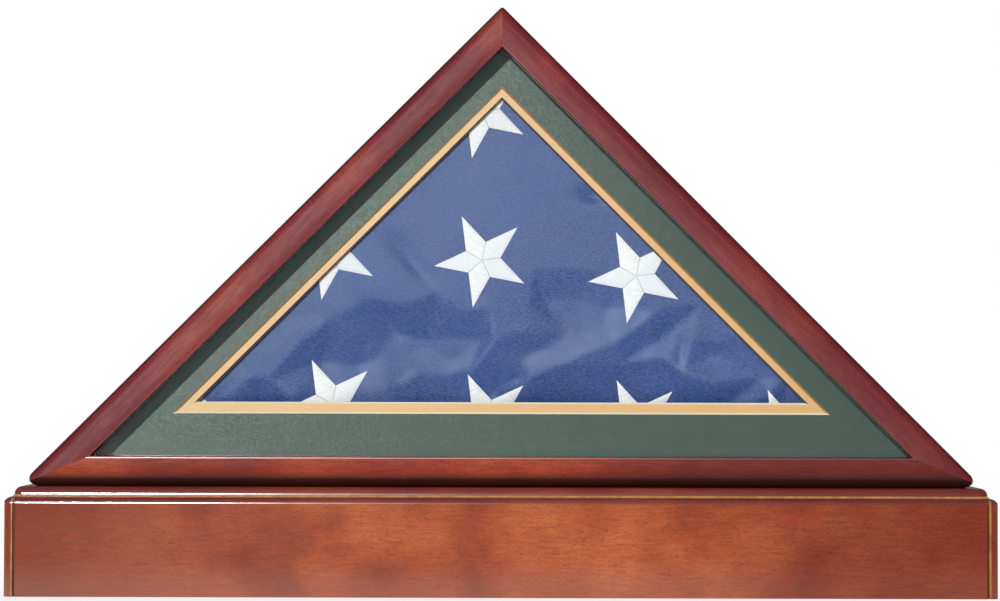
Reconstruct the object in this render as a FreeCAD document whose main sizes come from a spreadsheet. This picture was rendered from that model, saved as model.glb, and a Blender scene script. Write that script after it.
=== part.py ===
import FreeCAD, Part
import math
import os
import re

import Sketcher
from FreeCAD import Placement, Rotation, Vector

# Folded flag display case: a triangular glazed case on a pedestal.
# Millimetres. The origin is under the middle of the pedestal, the front faces -Y and +Z is up.

DRIVING_SIZES = {
    # pedestal
    "base_width": 672,
    "base_depth": 130,
    "box_height": 67,
    "board_thickness": 12,
    "corner_radius": 4.6,
    "box_edge_radius": 4,
    "quirk_inset": 6.4,
    "quirk_width": 1.6,
    "quirk_depth": 1.3,
    "top_inset": 4.6,
    "top_shadow_height": 0.3,
    "top_shadow_inset": 0.8,
    "top_lip_height": 0.9,
    "top_lip_step": 0.8,
    "top_nose_height": 5.8,
    "top_nose_radius": 5.2,
    "top_corner_radius": 6.2,
    "top_tongue_depth": 5,
    "tongue_clearance": 0.3,
    "panel_thickness": 6,
    "panel_clearance": 0.3,
    "block_side": 20,
    "block_clearance": 0.1,
    # screws of the bottom panel
    "panel_screw_diameter": 4,
    "panel_screw_length": 22,
    "panel_screw_head_diameter": 8,
    "panel_screw_head_height": 2.6,
    "panel_screw_recess": 0.4,
    "screw_clearance": 0.1,
    # case
    "case_width": 660,
    "case_depth": 96,
    "case_setback": 15,
    "rail_face": 20.5,
    "rail_round": 7,
    "rail_crown": 0.6,
    "sight_round": 1.2,
    "lip_depth": 8,
    "glass_rabbet": 4.5,
    "door_ledge": 6,
    "tip_radius": 5.5,
    "apex_radius": 3,
    "spline_thickness": 3,
    "spline_width": 10,
    "spline_length": 56,
    "spline_back": 20,
    "spline_clearance": 0.1,
    "dowel_diameter": 8,
    "dowel_length": 20,
    "dowel_seat_depth": 9,
    "dowel_spacing": 300,
    "dowel_clearance": 0.3,
    "dowel_end_clearance": 0.6,
    # glazing, mats and flag
    "glass_thickness": 2.5,
    "glass_clearance": 0.5,
    "liner_depth": 18,
    "liner_clearance": 0.2,
    "mat_thickness": 1.5,
    "mat_bevel": 1.2,
    "mat_clearance": 0.4,
    "window_side_margin": 38.7,
    "window_bottom_margin": 50.6,
    "gold_reveal": 5.3,
    "gold_bottom_reveal": 6.9,
    "flag_side_room": 7.8,
    "flag_tip_radius": 11,
    "flag_apex_radius": 12,
    "flag_edge_radius": 9,
    "flag_clearance": 0.4,
    # back door
    "door_thickness": 4.5,
    "door_seat_gap": 0.2,
    "door_gap": 1.2,
    "door_tip_clip": 17,
    "door_apex_clip": 6,
    # hinges
    "hinge_spacing": 340,
    "leaf_length": 30,
    "leaf_edge": 0.9,
    "leaf_thickness": 1,
    "knuckle_diameter": 4,
    "knuckle_clearance": 0.3,
    "pin_diameter": 2,
    "pin_clearance": 0.05,
    "leaf_screw_spacing": 20,
    "leaf_screw_diameter": 1.8,
    "leaf_screw_length": 4.2,
    "leaf_screw_head_diameter": 3.4,
    "leaf_screw_head_height": 0.8,
    # catch and knob
    "magnet_diameter": 5,
    "magnet_length": 5,
    "magnet_from_apex": 70,
    "magnet_edge": 0.5,
    "strike_diameter": 8,
    "strike_thickness": 0.8,
    "strike_edge": 0.6,
    "knob_drop": 46,
    "knob_diameter": 12,
    "knob_foot_diameter": 9,
    "knob_neck_diameter": 6,
    "knob_crown_diameter": 3,
    "knob_foot_height": 1.6,
    "knob_neck_height": 5,
    "knob_length": 10,
    "knob_screw_diameter": 3,
    "knob_screw_bite": 5,
    "knob_screw_head_diameter": 6,
    "knob_screw_head_height": 1.2,
}

# A folded flag is a right-angled triangle, so the mitres stand at half of 45 and half of 90 degrees.
ACUTE_MITRE_ANGLE = 22.5
APEX_MITRE_ANGLE = 45
BOX_MITRE_ANGLE = 45
KNUCKLE_COUNT = 3
# The most of a wall, or of a rounder corner, that a round or bevel takes.
FILLET_SHARE = 0.9
TOLERANCE = 1e-4
BACKWARDS = Rotation(Vector(1, 0, 0), -90)
FORWARDS = Rotation(Vector(1, 0, 0), 90)

doc = FreeCAD.newDocument("FlagCase")
sheet = doc.addObject("Spreadsheet::Sheet", "Sizes")
for row, (alias, number) in enumerate(DRIVING_SIZES.items(), start=1):
    sheet.set(f"A{row}", alias)
    sheet.set(f"B{row}", str(number))
    sheet.setAlias(f"B{row}", alias)
doc.recompute()

ALIAS = re.compile(r"\b(" + "|".join(DRIVING_SIZES) + r")\b")


def cell(text):
    return ALIAS.sub(r"Sizes.\1", str(text))


def size(text):
    return float(sheet.evalExpression(cell(text)))


# Sizes worked out from the driving ones
WALL = "(rail_face - glass_rabbet)"
BACK_WALL = f"({WALL} - door_ledge)"
BASE_HEIGHT = "(box_height + top_shadow_height + top_lip_height + top_nose_height)"
CASE_BACK = "(case_setback - base_depth / 2 + case_depth)"
SLOPE_LENGTH = "(case_width / sqrt(2))"
ACUTE_RUN = f"(1 / tan({ACUTE_MITRE_ANGLE} deg))"
LEDGE_LEVEL = "(door_thickness + door_seat_gap)"
LIP_LEVEL = "(case_depth - lip_depth)"
GLASS_BACK = f"({LIP_LEVEL} - glass_thickness)"
LINER_BACK = f"({GLASS_BACK} - liner_depth)"
GREEN_BACK = f"({LINER_BACK} - mat_thickness)"
GOLD_BACK = f"({GREEN_BACK} - mat_thickness)"
PIN_RISE = f"({BACK_WALL} + door_gap / 2)"
PIN_OUT = "(knuckle_diameter / 2)"

parts = []


def keep(part, label):
    part.Label = label
    parts.append(part)
    return part


def place(part, x, y, z, turn=None):
    part.Placement = Placement(Vector(0, 0, 0), turn or Rotation())
    for axis, text in zip("xyz", (x, y, z)):
        part.setExpression(f"Placement.Base.{axis}", cell(text))
    return part


def new_body(label):
    return keep(doc.addObject("PartDesign::Body", label), label)


def new_sketch(body, plane, offset="0"):
    sketch = body.newObject("Sketcher::SketchObject", "Sketch")
    support = next(f for f in body.Origin.OriginFeatures if f.Role == plane)
    sketch.AttachmentSupport = (support, "")
    sketch.MapMode = "FlatFace"
    sketch.setExpression("AttachmentOffset.Base.z", cell(offset))
    return sketch


def pin_point(sketch, geometry, position, corner):
    for kind, text in zip(("DistanceX", "DistanceY"), corner):
        rule = Sketcher.Constraint(kind, -1, 1, geometry, position, size(text))
        number = sketch.addConstraint(rule)
        sketch.setExpression(f"Constraints[{number}]", cell(text))


def draw_arc(start, end, radius, turn):
    chord = end - start
    middle = (start + end) / 2
    rise = math.sqrt(max(radius**2 - (chord.Length / 2) ** 2, 0))
    left = Vector(-chord.y, chord.x, 0).normalize()
    centre = middle + left * rise * turn
    angles = [math.atan2((p - centre).y, (p - centre).x) for p in (start, end)]
    if turn < 0:
        angles.reverse()
    return Part.ArcOfCircle(Part.Circle(centre, Vector(0, 0, 1), radius), *angles)


# A closed outline through corners. arcs gives the radius of the round edge that starts at a corner,
# and its turn: 1 for anticlockwise, -1 for clockwise.
def outline(sketch, corners, arcs=None):
    arcs = arcs or {}
    points = [Vector(size(x), size(y), 0) for x, y in corners]
    ends = []
    for i, start in enumerate(points):
        end = points[(i + 1) % len(points)]
        if i in arcs:
            radius, turn = arcs[i]
            geometry = sketch.addGeometry(draw_arc(start, end, size(radius), turn))
            number = sketch.addConstraint(Sketcher.Constraint("Radius", geometry, size(radius)))
            sketch.setExpression(f"Constraints[{number}]", cell(radius))
            ends.append((geometry, 1, 2) if turn > 0 else (geometry, 2, 1))
        else:
            geometry = sketch.addGeometry(Part.LineSegment(start, end))
            ends.append((geometry, 1, 2))
    for i, (geometry, first, last) in enumerate(ends):
        after, after_first, _ = ends[(i + 1) % len(ends)]
        sketch.addConstraint(Sketcher.Constraint("Coincident", geometry, last, after, after_first))
        pin_point(sketch, geometry, first, corners[i])
    return sketch


def circle(sketch, x, y, radius):
    centre = Vector(size(x), size(y), 0)
    geometry = sketch.addGeometry(Part.Circle(centre, Vector(0, 0, 1), size(radius)))
    number = sketch.addConstraint(Sketcher.Constraint("Radius", geometry, size(radius)))
    sketch.setExpression(f"Constraints[{number}]", cell(radius))
    pin_point(sketch, geometry, 3, (x, y))
    return sketch


def pad(body, sketch, length, both_ways=False):
    feature = body.newObject("PartDesign::Pad", "Pad")
    feature.Profile = sketch
    feature.setExpression("Length", cell(length))
    if both_ways:
        feature.SideType = "Symmetric"
    return feature


# A pocket that cuts along the sketch's normal, or right through when it has no depth.
def pocket(body, sketch, depth=None, against_normal=False):
    doc.recompute()
    before = body.Tip.Shape.Volume
    feature = body.newObject("PartDesign::Pocket", "Pocket")
    feature.Profile = sketch
    feature.Reversed = not against_normal
    if depth is None:
        feature.Type = "ThroughAll"
    else:
        feature.setExpression("Length", cell(depth))
    doc.recompute()
    if feature.Shape.Volume >= before:
        raise RuntimeError(f"{body.Label}: a pocket cuts nothing")
    return feature


# Rounds or bevels the edges of the last feature whose middle passes the test.
def dress(body, kind, amount, chosen):
    doc.recompute()
    base = body.Tip
    names = []
    for number, edge in enumerate(base.Shape.Edges, start=1):
        middle = edge.valueAt((edge.FirstParameter + edge.LastParameter) / 2)
        if chosen(middle, edge):
            names.append(f"Edge{number}")
    if not names:
        raise RuntimeError(f"{body.Label}: no edge to dress")
    feature = body.newObject(f"PartDesign::{kind}", kind)
    feature.Base = (base, names)
    feature.setExpression("Radius" if kind == "Fillet" else "Size", cell(amount))
    return feature


def near(a, b):
    return abs(a - b) < TOLERANCE


def cylinder(radius, height, x, y, z, turn=None):
    solid = doc.addObject("Part::Cylinder", "Cylinder")
    solid.setExpression("Radius", cell(radius))
    solid.setExpression("Height", cell(height))
    return place(solid, x, y, z, turn)


def box(length, width, height, x, y, z, turn=None):
    solid = doc.addObject("Part::Box", "Box")
    for name, text in zip(("Length", "Width", "Height"), (length, width, height)):
        solid.setExpression(name, cell(text))
    return place(solid, x, y, z, turn)


def joined(solids):
    whole = doc.addObject("Part::MultiFuse", "Joined")
    whole.Shapes = solids
    return whole


def grouped(solids, label):
    group = doc.addObject("Part::Compound", label)
    group.Links = solids
    return keep(group, label)


# Local axes of a rail: X along its outer edge, Y inwards across the face, Z from the back to the front.
def rail_frame(part, x, rise, angle):
    turn = FORWARDS * Rotation(Vector(0, 0, 1), angle)
    return place(part, x, CASE_BACK, f"{BASE_HEIGHT} + {rise}", turn)


# Each rail: its length, its two mitre angles, where its outer edge starts and the angle that it runs at.
RIGHT_RAIL_ANGLE = 135
LEFT_RAIL_ANGLE = 225
RAILS = {
    "bottom": ("case_width", ACUTE_MITRE_ANGLE, ACUTE_MITRE_ANGLE, "-case_width / 2", "0", 0),
    "right": (SLOPE_LENGTH, ACUTE_MITRE_ANGLE, APEX_MITRE_ANGLE, "case_width / 2", "0", RIGHT_RAIL_ANGLE),
    "left": (SLOPE_LENGTH, APEX_MITRE_ANGLE, ACUTE_MITRE_ANGLE, "0", "case_width / 2", LEFT_RAIL_ANGLE),
}


def tip_round(half):
    return "tip_radius" if half == ACUTE_MITRE_ANGLE else "apex_radius"


# A spline stands across its mitre, in the middle of the wall.
def spline_place(half):
    return f"({WALL} / 2 / sin({half} deg))"


# Turns corners drawn for the start of a rail into corners for its far end.
def at_far_end(corners, length):
    return [(f"{length} - ({x})", y) for x, y in corners]


def mitre_cut(body, length, half, far):
    radius = tip_round(half)
    start = f"{radius} / tan({half} deg)"
    across = "(2 * rail_face)"
    corners = [
        (start, "0"),
        (f"{start} - {radius} * cos({half} deg)", f"{radius} * (1 - sin({half} deg))"),
        (f"{across} / tan({half} deg)", across),
        ("-rail_face", across),
        ("-rail_face", "-rail_face"),
        (start, "-rail_face"),
    ]
    arcs = {0: (radius, 1 if far else -1)}
    sketch = new_sketch(body, "XY_Plane")
    outline(sketch, at_far_end(corners, length) if far else corners, arcs)
    pocket(body, sketch)


def spline_slot(body, length, half, far):
    along = spline_place(half)
    reach = "(spline_width / 2 + spline_clearance)"
    thick = "(spline_thickness / 2 + spline_clearance)"
    corners = []
    for a, b in ((-1, -1), (1, -1), (1, 1), (-1, 1)):
        mid = f"({along} + {a} * {thick})"
        x = f"{mid} * cos({half} deg) - {b} * {reach} * sin({half} deg)"
        y = f"{mid} * sin({half} deg) + {b} * {reach} * cos({half} deg)"
        corners.append((x, y))
    sketch = new_sketch(body, "XY_Plane", "spline_back - spline_clearance")
    outline(sketch, at_far_end(corners, length) if far else corners)
    pocket(body, sketch, "spline_length + 2 * spline_clearance")


def rail(side):
    length, start_half, end_half, x, rise, angle = RAILS[side]
    body = new_body(f"{side}_rail")
    crest = "case_depth - rail_crown"
    face = "(rail_face - sight_round - rail_round)"
    profile = [
        ("0", "0"),
        (BACK_WALL, "0"),
        (BACK_WALL, LEDGE_LEVEL),
        (WALL, LEDGE_LEVEL),
        (WALL, LIP_LEVEL),
        ("rail_face", LIP_LEVEL),
        ("rail_face", f"{crest} - sight_round"),
        ("rail_face - sight_round", crest),
        ("rail_round", crest),
        ("0", f"{crest} - rail_round"),
    ]
    crown_radius = f"({face} * {face} / (8 * rail_crown) + rail_crown / 2)"
    arcs = {6: ("sight_round", 1), 7: (crown_radius, 1), 8: ("rail_round", 1)}
    pad(body, outline(new_sketch(body, "YZ_Plane"), profile, arcs), length)
    for half, far in ((start_half, False), (end_half, True)):
        mitre_cut(body, length, half, far)
        spline_slot(body, length, half, far)
    rail_frame(body, x, rise, angle)
    return body


def spline(label, side):
    _, half, _, x, rise, angle = RAILS[side]
    along = f"({spline_place(half)} - spline_thickness / 2)"
    strip = box("spline_thickness", "spline_width", "spline_length", "0", "0", "0")
    lift = f"spline_width / 2 * cos({half} deg)"
    shift = f"spline_width / 2 * sin({half} deg)"
    place(
        strip,
        f"{along} * cos({half} deg) + {shift}",
        f"{along} * sin({half} deg) - {lift}",
        "spline_back",
        Rotation(Vector(0, 0, 1), half),
    )
    held = doc.addObject("Part::Compound", label)
    held.Links = [strip]
    return keep(rail_frame(held, x, rise, angle), label)


def liner(side):
    length, start_half, end_half, x, rise, angle = RAILS[side]
    body = new_body(f"{side}_liner")
    outer = f"({WALL} + liner_clearance)"
    inner = "(rail_face - liner_clearance)"
    corners = [
        (f"{outer} / tan({start_half} deg) + liner_clearance", outer),
        (f"{length} - {outer} / tan({end_half} deg) - liner_clearance", outer),
        (f"{length} - {inner} / tan({end_half} deg) - liner_clearance", inner),
        (f"{inner} / tan({start_half} deg) + liner_clearance", inner),
    ]
    pad(body, outline(new_sketch(body, "XY_Plane", LINER_BACK), corners), "liner_depth")
    return rail_frame(body, x, rise, angle)


# Corners of the case's triangle, moved inwards from its outer edges.
def triangle(inset):
    half = f"(case_width / 2 - {inset} * {ACUTE_RUN})"
    return [(f"-{half}", inset), (half, inset), ("0", f"case_width / 2 - {inset} * sqrt(2)")]


def panel_frame(part):
    return rail_frame(part, "0", "0", 0)


def glass():
    body = new_body("glass_pane")
    sketch = outline(new_sketch(body, "XY_Plane", GLASS_BACK), triangle(f"({WALL} + glass_clearance)"))
    pad(body, sketch, "glass_thickness")
    panel_frame(body)


def mat(label, level, bottom, apex):
    body = new_body(label)
    sketch = outline(new_sketch(body, "XY_Plane", level), triangle(f"({WALL} + mat_clearance)"))
    half = f"({apex} - {bottom})"
    outline(sketch, [(f"-{half}", bottom), (half, bottom), ("0", apex)])
    pad(body, sketch, "mat_thickness")
    front = size(level) + size("mat_thickness")

    def window_edge(middle, edge):
        on_side = near(middle.y + abs(middle.x), size(apex))
        on_bottom = near(middle.y, size(bottom))
        return near(middle.z, front) and (on_side or on_bottom)

    dress(body, "Chamfer", f"min(mat_bevel; {FILLET_SHARE} * mat_thickness)", window_edge)
    panel_frame(body)


def flag():
    body = new_body("folded_flag")
    floor = f"({WALL} + flag_clearance)"
    half = f"(case_width / 2 - ({WALL} + flag_side_room) * sqrt(2) - {floor})"
    run = f"flag_tip_radius * {ACUTE_RUN}"
    slant = f"{run} / sqrt(2)"
    apex = f"({floor} + {half})"
    drop = "flag_apex_radius / sqrt(2)"
    corners = [
        (f"-{half} + {run}", floor),
        (f"{half} - {run}", floor),
        (f"{half} - {slant}", f"{floor} + {slant}"),
        (drop, f"{apex} - {drop}"),
        (f"-{drop}", f"{apex} - {drop}"),
        (f"-{half} + {slant}", f"{floor} + {slant}"),
    ]
    arcs = {1: ("flag_tip_radius", 1), 3: ("flag_apex_radius", 1), 5: ("flag_tip_radius", 1)}
    back = "(door_thickness + flag_clearance)"
    thick = f"{GOLD_BACK} - flag_clearance - {back}"
    pad(body, outline(new_sketch(body, "XY_Plane", back), corners, arcs), thick)
    ends = (size(back), size(back) + size(thick))
    sharpest = "min(flag_tip_radius; flag_apex_radius)"
    edge_radius = f"min(flag_edge_radius; {FILLET_SHARE} * {sharpest})"
    dress(body, "Fillet", edge_radius, lambda middle, edge: any(near(middle.z, e) for e in ends))
    panel_frame(body)


# The magnets sit at the inner side of the door ledge, and the strike plates just inside the door's edge.
MAGNET_INSET = f"({WALL} - magnet_edge - magnet_diameter / 2)"
STRIKE_INSET = f"({BACK_WALL} + door_gap + strike_edge + strike_diameter / 2)"
STRIKE_ACROSS = f"((magnet_from_apex - {STRIKE_INSET}) / sqrt(2))"
STRIKE_UP = f"(case_width / 2 - (magnet_from_apex + {STRIKE_INSET}) / sqrt(2))"
KNOB_UP = f"(case_width / 2 - {WALL} * sqrt(2) - knob_drop)"


def magnet(side):
    length, start_half, _, x, rise, angle = RAILS[side]
    along = f"{length} - magnet_from_apex" if start_half == ACUTE_MITRE_ANGLE else "magnet_from_apex"
    rail_body = next(p for p in parts if p.Label == f"{side}_rail")
    bore = new_sketch(rail_body, "XY_Plane", LEDGE_LEVEL)
    circle(bore, along, MAGNET_INSET, "magnet_diameter / 2 + screw_clearance / 2")
    pocket(rail_body, bore, "magnet_length + screw_clearance")
    body = new_body(f"{side}_catch_magnet")
    disc = circle(new_sketch(body, "XY_Plane", LEDGE_LEVEL), along, MAGNET_INSET, "magnet_diameter / 2")
    pad(body, disc, "magnet_length")
    rail_frame(body, x, rise, angle)


SIDES = {"left": -1, "right": 1}
LEAF_SCREW_ENDS = (-1, 1)
LEAF_START = "(knuckle_diameter / 2 + knuckle_clearance)"
LEAF_WIDTH = f"({PIN_RISE} - {LEAF_START} - leaf_edge)"
LEAF_MIDDLE = f"({LEAF_START} + {LEAF_WIDTH} / 2)"


def leaf_screw_places(way):
    for sign in SIDES.values():
        for end in LEAF_SCREW_ENDS:
            x = f"{sign} * hinge_spacing / 2 + {end} * leaf_screw_spacing / 2"
            yield x, f"{PIN_RISE} + {way} * {LEAF_MIDDLE}"


def screw_holes(body, way):
    sketch = new_sketch(body, "XY_Plane")
    for x, y in leaf_screw_places(way):
        along = f"{x} + case_width / 2" if body.Label == "bottom_rail" else x
        circle(sketch, along, y, "leaf_screw_diameter / 2 + screw_clearance / 2")
    pocket(body, sketch, "leaf_screw_length - leaf_thickness + screw_clearance")


def dowel_holes(body):
    sketch = new_sketch(body, "XZ_Plane")
    for sign in SIDES.values():
        along = f"case_width / 2 + {sign} * dowel_spacing / 2"
        circle(sketch, along, CASE_BACK, "dowel_diameter / 2 + dowel_clearance")
    pocket(body, sketch, "dowel_length - dowel_seat_depth + dowel_end_clearance", against_normal=True)


def door():
    body = new_body("back_door")
    inset = f"({BACK_WALL} + door_gap)"
    _, right, apex = triangle(inset)
    top = f"({apex[1]} - door_apex_clip)"
    edge = f"({right[0]} - door_tip_clip)"
    corners = [
        (f"-{edge}", inset),
        (edge, inset),
        (edge, f"{inset} + door_tip_clip"),
        ("door_apex_clip", top),
        ("-door_apex_clip", top),
        (f"-{edge}", f"{inset} + door_tip_clip"),
    ]
    pad(body, outline(new_sketch(body, "XY_Plane"), corners), "door_thickness")
    screw_holes(body, 1)
    recess = new_sketch(body, "XY_Plane", "door_thickness")
    for sign in SIDES.values():
        circle(recess, f"{sign} * {STRIKE_ACROSS}", STRIKE_UP, "strike_diameter / 2 + screw_clearance")
    pocket(body, recess, "strike_thickness", against_normal=True)
    shank = circle(new_sketch(body, "XY_Plane"), "0", KNOB_UP, "knob_screw_diameter / 2 + screw_clearance")
    pocket(body, shank)
    head = new_sketch(body, "XY_Plane", "door_thickness")
    circle(head, "0", KNOB_UP, "knob_screw_head_diameter / 2 + screw_clearance")
    pocket(body, head, "knob_screw_head_height + screw_clearance", against_normal=True)
    panel_frame(body)


def strike_plate(side):
    body = new_body(f"{side}_strike_plate")
    sketch = new_sketch(body, "XY_Plane", "door_thickness - strike_thickness")
    circle(sketch, f"{SIDES[side]} * {STRIKE_ACROSS}", STRIKE_UP, "strike_diameter / 2")
    pad(body, sketch, "strike_thickness")
    panel_frame(body)


def knob():
    body = new_body("door_knob")
    bore = "knob_screw_diameter / 2 + screw_clearance"
    depth = "(knob_screw_bite + screw_clearance)"
    widest = f"({depth} + knob_length) / 2"
    profile = [
        (bore, "0"),
        ("knob_foot_diameter / 2", "0"),
        ("knob_foot_diameter / 2", "knob_foot_height"),
        ("knob_neck_diameter / 2", "knob_foot_height"),
        ("knob_neck_diameter / 2", "knob_neck_height"),
        ("knob_diameter / 2", widest),
        ("knob_crown_diameter / 2", "knob_length"),
        ("0", "knob_length"),
        ("0", depth),
        (bore, depth),
    ]
    arcs = {4: ("knob_diameter / 2", 1), 5: ("knob_diameter / 2", 1)}
    sketch = outline(new_sketch(body, "XZ_Plane"), profile, arcs)
    turned = body.newObject("PartDesign::Revolution", "Turned")
    turned.Profile = sketch
    turned.ReferenceAxis = (sketch, ["V_Axis"])
    place(body, "0", CASE_BACK, f"{BASE_HEIGHT} + {KNOB_UP}", BACKWARDS)


def knob_screw():
    rise = f"{BASE_HEIGHT} + {KNOB_UP}"
    face = f"({CASE_BACK} - door_thickness)"
    head_end = f"{face} + knob_screw_head_height"
    head = cylinder("knob_screw_head_diameter / 2", "knob_screw_head_height", "0", face, rise, BACKWARDS)
    shank_length = "door_thickness - knob_screw_head_height + knob_screw_bite"
    shank = cylinder("knob_screw_diameter / 2", shank_length, "0", head_end, rise, BACKWARDS)
    keep(joined([head, shank]), "knob_screw")


# A hinge leaf in axes through its pin: X along the pin, Y to the back, Z up. way is -1 for the leaf on
# the case, which hangs down, and 1 for the leaf on the door.
def leaf(label, side, way):
    body = new_body(label)
    inner = f"-{PIN_OUT}"
    outer = f"(leaf_thickness - {PIN_OUT})"
    start = f"{way} * {LEAF_START}"
    end = f"{way} * ({LEAF_START} + {LEAF_WIDTH})"
    plate = [(inner, start), (outer, start), (outer, end), (inner, end)]
    pad(body, outline(new_sketch(body, "YZ_Plane"), plate), "leaf_length", both_ways=True)
    share = f"(leaf_length / {KNUCKLE_COUNT})"
    if way < 0:
        spans = (("-leaf_length / 2", share), (f"leaf_length / 2 - {share}", share))
    else:
        gap = "knuckle_clearance"
        spans = ((f"{gap} - {share} / 2", f"{share} - 2 * {gap}"),)
    for offset, length in spans:
        knuckle = circle(new_sketch(body, "YZ_Plane", offset), "0", "0", "knuckle_diameter / 2")
        pad(body, knuckle, length)
        tab = [(inner, "0"), (outer, "0"), (outer, start), (inner, start)]
        pad(body, outline(new_sketch(body, "YZ_Plane", offset), tab), length)
    bore = circle(new_sketch(body, "YZ_Plane", "-leaf_length"), "0", "0", "pin_diameter / 2 + pin_clearance")
    pocket(body, bore)
    holes = new_sketch(body, "XZ_Plane", PIN_OUT)
    for sign in LEAF_SCREW_ENDS:
        x = f"{sign} * leaf_screw_spacing / 2"
        circle(holes, x, f"{way} * {LEAF_MIDDLE}", "leaf_screw_diameter / 2 + screw_clearance / 2")
    pocket(body, holes, "leaf_thickness", against_normal=True)
    hinge_frame(body, side)


def hinge_frame(part, side):
    across = f"{SIDES[side]} * hinge_spacing / 2"
    return place(part, across, f"{CASE_BACK} + {PIN_OUT}", f"{BASE_HEIGHT} + {PIN_RISE}")


def hinge_pin(side):
    body = new_body(f"{side}_hinge_pin")
    wire = circle(new_sketch(body, "YZ_Plane"), "0", "0", "pin_diameter / 2")
    pad(body, wire, "leaf_length", both_ways=True)
    hinge_frame(body, side)


def leaf_screws(label, way):
    screws = []
    surface = f"{CASE_BACK} + leaf_thickness"
    for x, rise in leaf_screw_places(way):
        up = f"{BASE_HEIGHT} + {rise}"
        head = cylinder("leaf_screw_head_diameter / 2", "leaf_screw_head_height", x, surface, up, BACKWARDS)
        shank = cylinder("leaf_screw_diameter / 2", "leaf_screw_length", x, surface, up, FORWARDS)
        screws.append(joined([head, shank]))
    grouped(screws, label)


# A board of the pedestal box. Its outer face is along local X at Y = 0, and its mitred ends are at
# both ends of its length.
def box_board(label, length, x, y, angle, quirks):
    body = new_body(label)
    half = f"{length} / 2"
    start = f"({half} - corner_radius)"
    rounded = f"corner_radius * (1 - sin({BOX_MITRE_ANGLE} deg))"
    corners = [
        (f"-{start}", "0"),
        (start, "0"),
        (f"{half} - {rounded}", rounded),
        (f"{half} - board_thickness", "board_thickness"),
        (f"-{half} + board_thickness", "board_thickness"),
        (f"-{half} + {rounded}", rounded),
    ]
    arcs = {1: ("corner_radius", 1), 5: ("corner_radius", 1)}
    pad(body, outline(new_sketch(body, "XY_Plane"), corners, arcs), "box_height")
    top = size("box_height")
    inside = size("board_thickness")

    def outer_top_edge(middle, edge):
        along = abs(middle.x) < size(half) - size(rounded) - TOLERANCE
        return near(middle.z, top) and middle.y < inside - TOLERANCE and along

    dress(body, "Fillet", f"min(box_edge_radius; {FILLET_SHARE} * corner_radius)", outer_top_edge)
    if quirks:
        grooves = new_sketch(body, "XY_Plane")
        for sign in SIDES.values():
            near_side = f"{sign} * ({half} - quirk_inset)"
            far_side = f"{sign} * ({half} - quirk_inset - quirk_width)"
            groove = [
                (near_side, "-quirk_depth"),
                (far_side, "-quirk_depth"),
                (far_side, "quirk_depth"),
                (near_side, "quirk_depth"),
            ]
            outline(grooves, groove)
        pocket(body, grooves)
    place(body, x, y, "0", Rotation(Vector(0, 0, 1), angle))


def rectangle(half_x, half_y):
    return [(f"-{half_x}", f"-{half_y}"), (half_x, f"-{half_y}"), (half_x, half_y), (f"-{half_x}", half_y)]


def inset_rectangle(inset):
    return rectangle(f"(base_width / 2 - {inset})", f"(base_depth / 2 - {inset})")


def upright_edge(edge):
    ends = edge.Vertexes
    return len(ends) == 2 and near(ends[0].X, ends[1].X) and near(ends[0].Y, ends[1].Y)


def top_board():
    body = new_body("base_top_board")
    lip = "top_inset"
    nose = "(top_inset + top_lip_step)"
    shadow = "(top_inset + top_shadow_inset)"
    lip_level = "box_height + top_shadow_height"
    nose_level = f"{lip_level} + top_lip_height"
    pad(body, outline(new_sketch(body, "XY_Plane", lip_level), inset_rectangle(lip)), "top_lip_height")
    pad(body, outline(new_sketch(body, "XY_Plane", nose_level), inset_rectangle(nose)), "top_nose_height")
    dress(body, "Fillet", "top_corner_radius", lambda middle, edge: upright_edge(edge))
    top = size(BASE_HEIGHT)
    room = "min(top_nose_height; top_corner_radius)"
    nose_radius = f"min(top_nose_radius; {FILLET_SHARE} * {room})"
    dress(body, "Fillet", nose_radius, lambda middle, edge: near(middle.z, top))
    shadow_line = new_sketch(body, "XY_Plane", "box_height")
    pad(body, outline(shadow_line, inset_rectangle(shadow)), "top_shadow_height")
    tongue = new_sketch(body, "XY_Plane", "box_height - top_tongue_depth")
    pad(body, outline(tongue, inset_rectangle("(board_thickness + tongue_clearance)")), "top_tongue_depth")
    seats = new_sketch(body, "XY_Plane", f"{BASE_HEIGHT} - dowel_seat_depth - dowel_end_clearance")
    for sign in SIDES.values():
        circle(seats, f"{sign} * dowel_spacing / 2", "0", "dowel_diameter / 2 + pin_clearance")
    pocket(body, seats)


BLOCK_PLACES = {
    "front_left": (-1, -1),
    "front_right": (1, -1),
    "back_left": (-1, 1),
    "back_right": (1, 1),
}


def block_centre(sign, span):
    return f"{sign} * ({span} / 2 - board_thickness - block_clearance - block_side / 2)"


def bottom_panel():
    body = new_body("base_bottom_panel")
    edge = inset_rectangle("(board_thickness + panel_clearance)")
    pad(body, outline(new_sketch(body, "XY_Plane"), edge), "panel_thickness")
    shanks = new_sketch(body, "XY_Plane")
    heads = new_sketch(body, "XY_Plane")
    for across, back in BLOCK_PLACES.values():
        place_xy = (block_centre(across, "base_width"), block_centre(back, "base_depth"))
        circle(shanks, *place_xy, "panel_screw_diameter / 2 + screw_clearance")
        circle(heads, *place_xy, "panel_screw_head_diameter / 2 + screw_clearance")
    pocket(body, shanks)
    pocket(body, heads, "panel_screw_recess + panel_screw_head_height")


def corner_block(corner):
    across, back = BLOCK_PLACES[corner]
    body = new_body(f"{corner}_corner_block")
    half = "block_side / 2"
    length = "box_height - top_tongue_depth - panel_thickness - block_clearance"
    pad(body, outline(new_sketch(body, "XY_Plane"), rectangle(half, half)), length)
    pilot = circle(new_sketch(body, "XY_Plane"), "0", "0", "panel_screw_diameter / 2 + screw_clearance")
    pocket(body, pilot, "panel_screw_length")
    place(body, block_centre(across, "base_width"), block_centre(back, "base_depth"), "panel_thickness")


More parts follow.
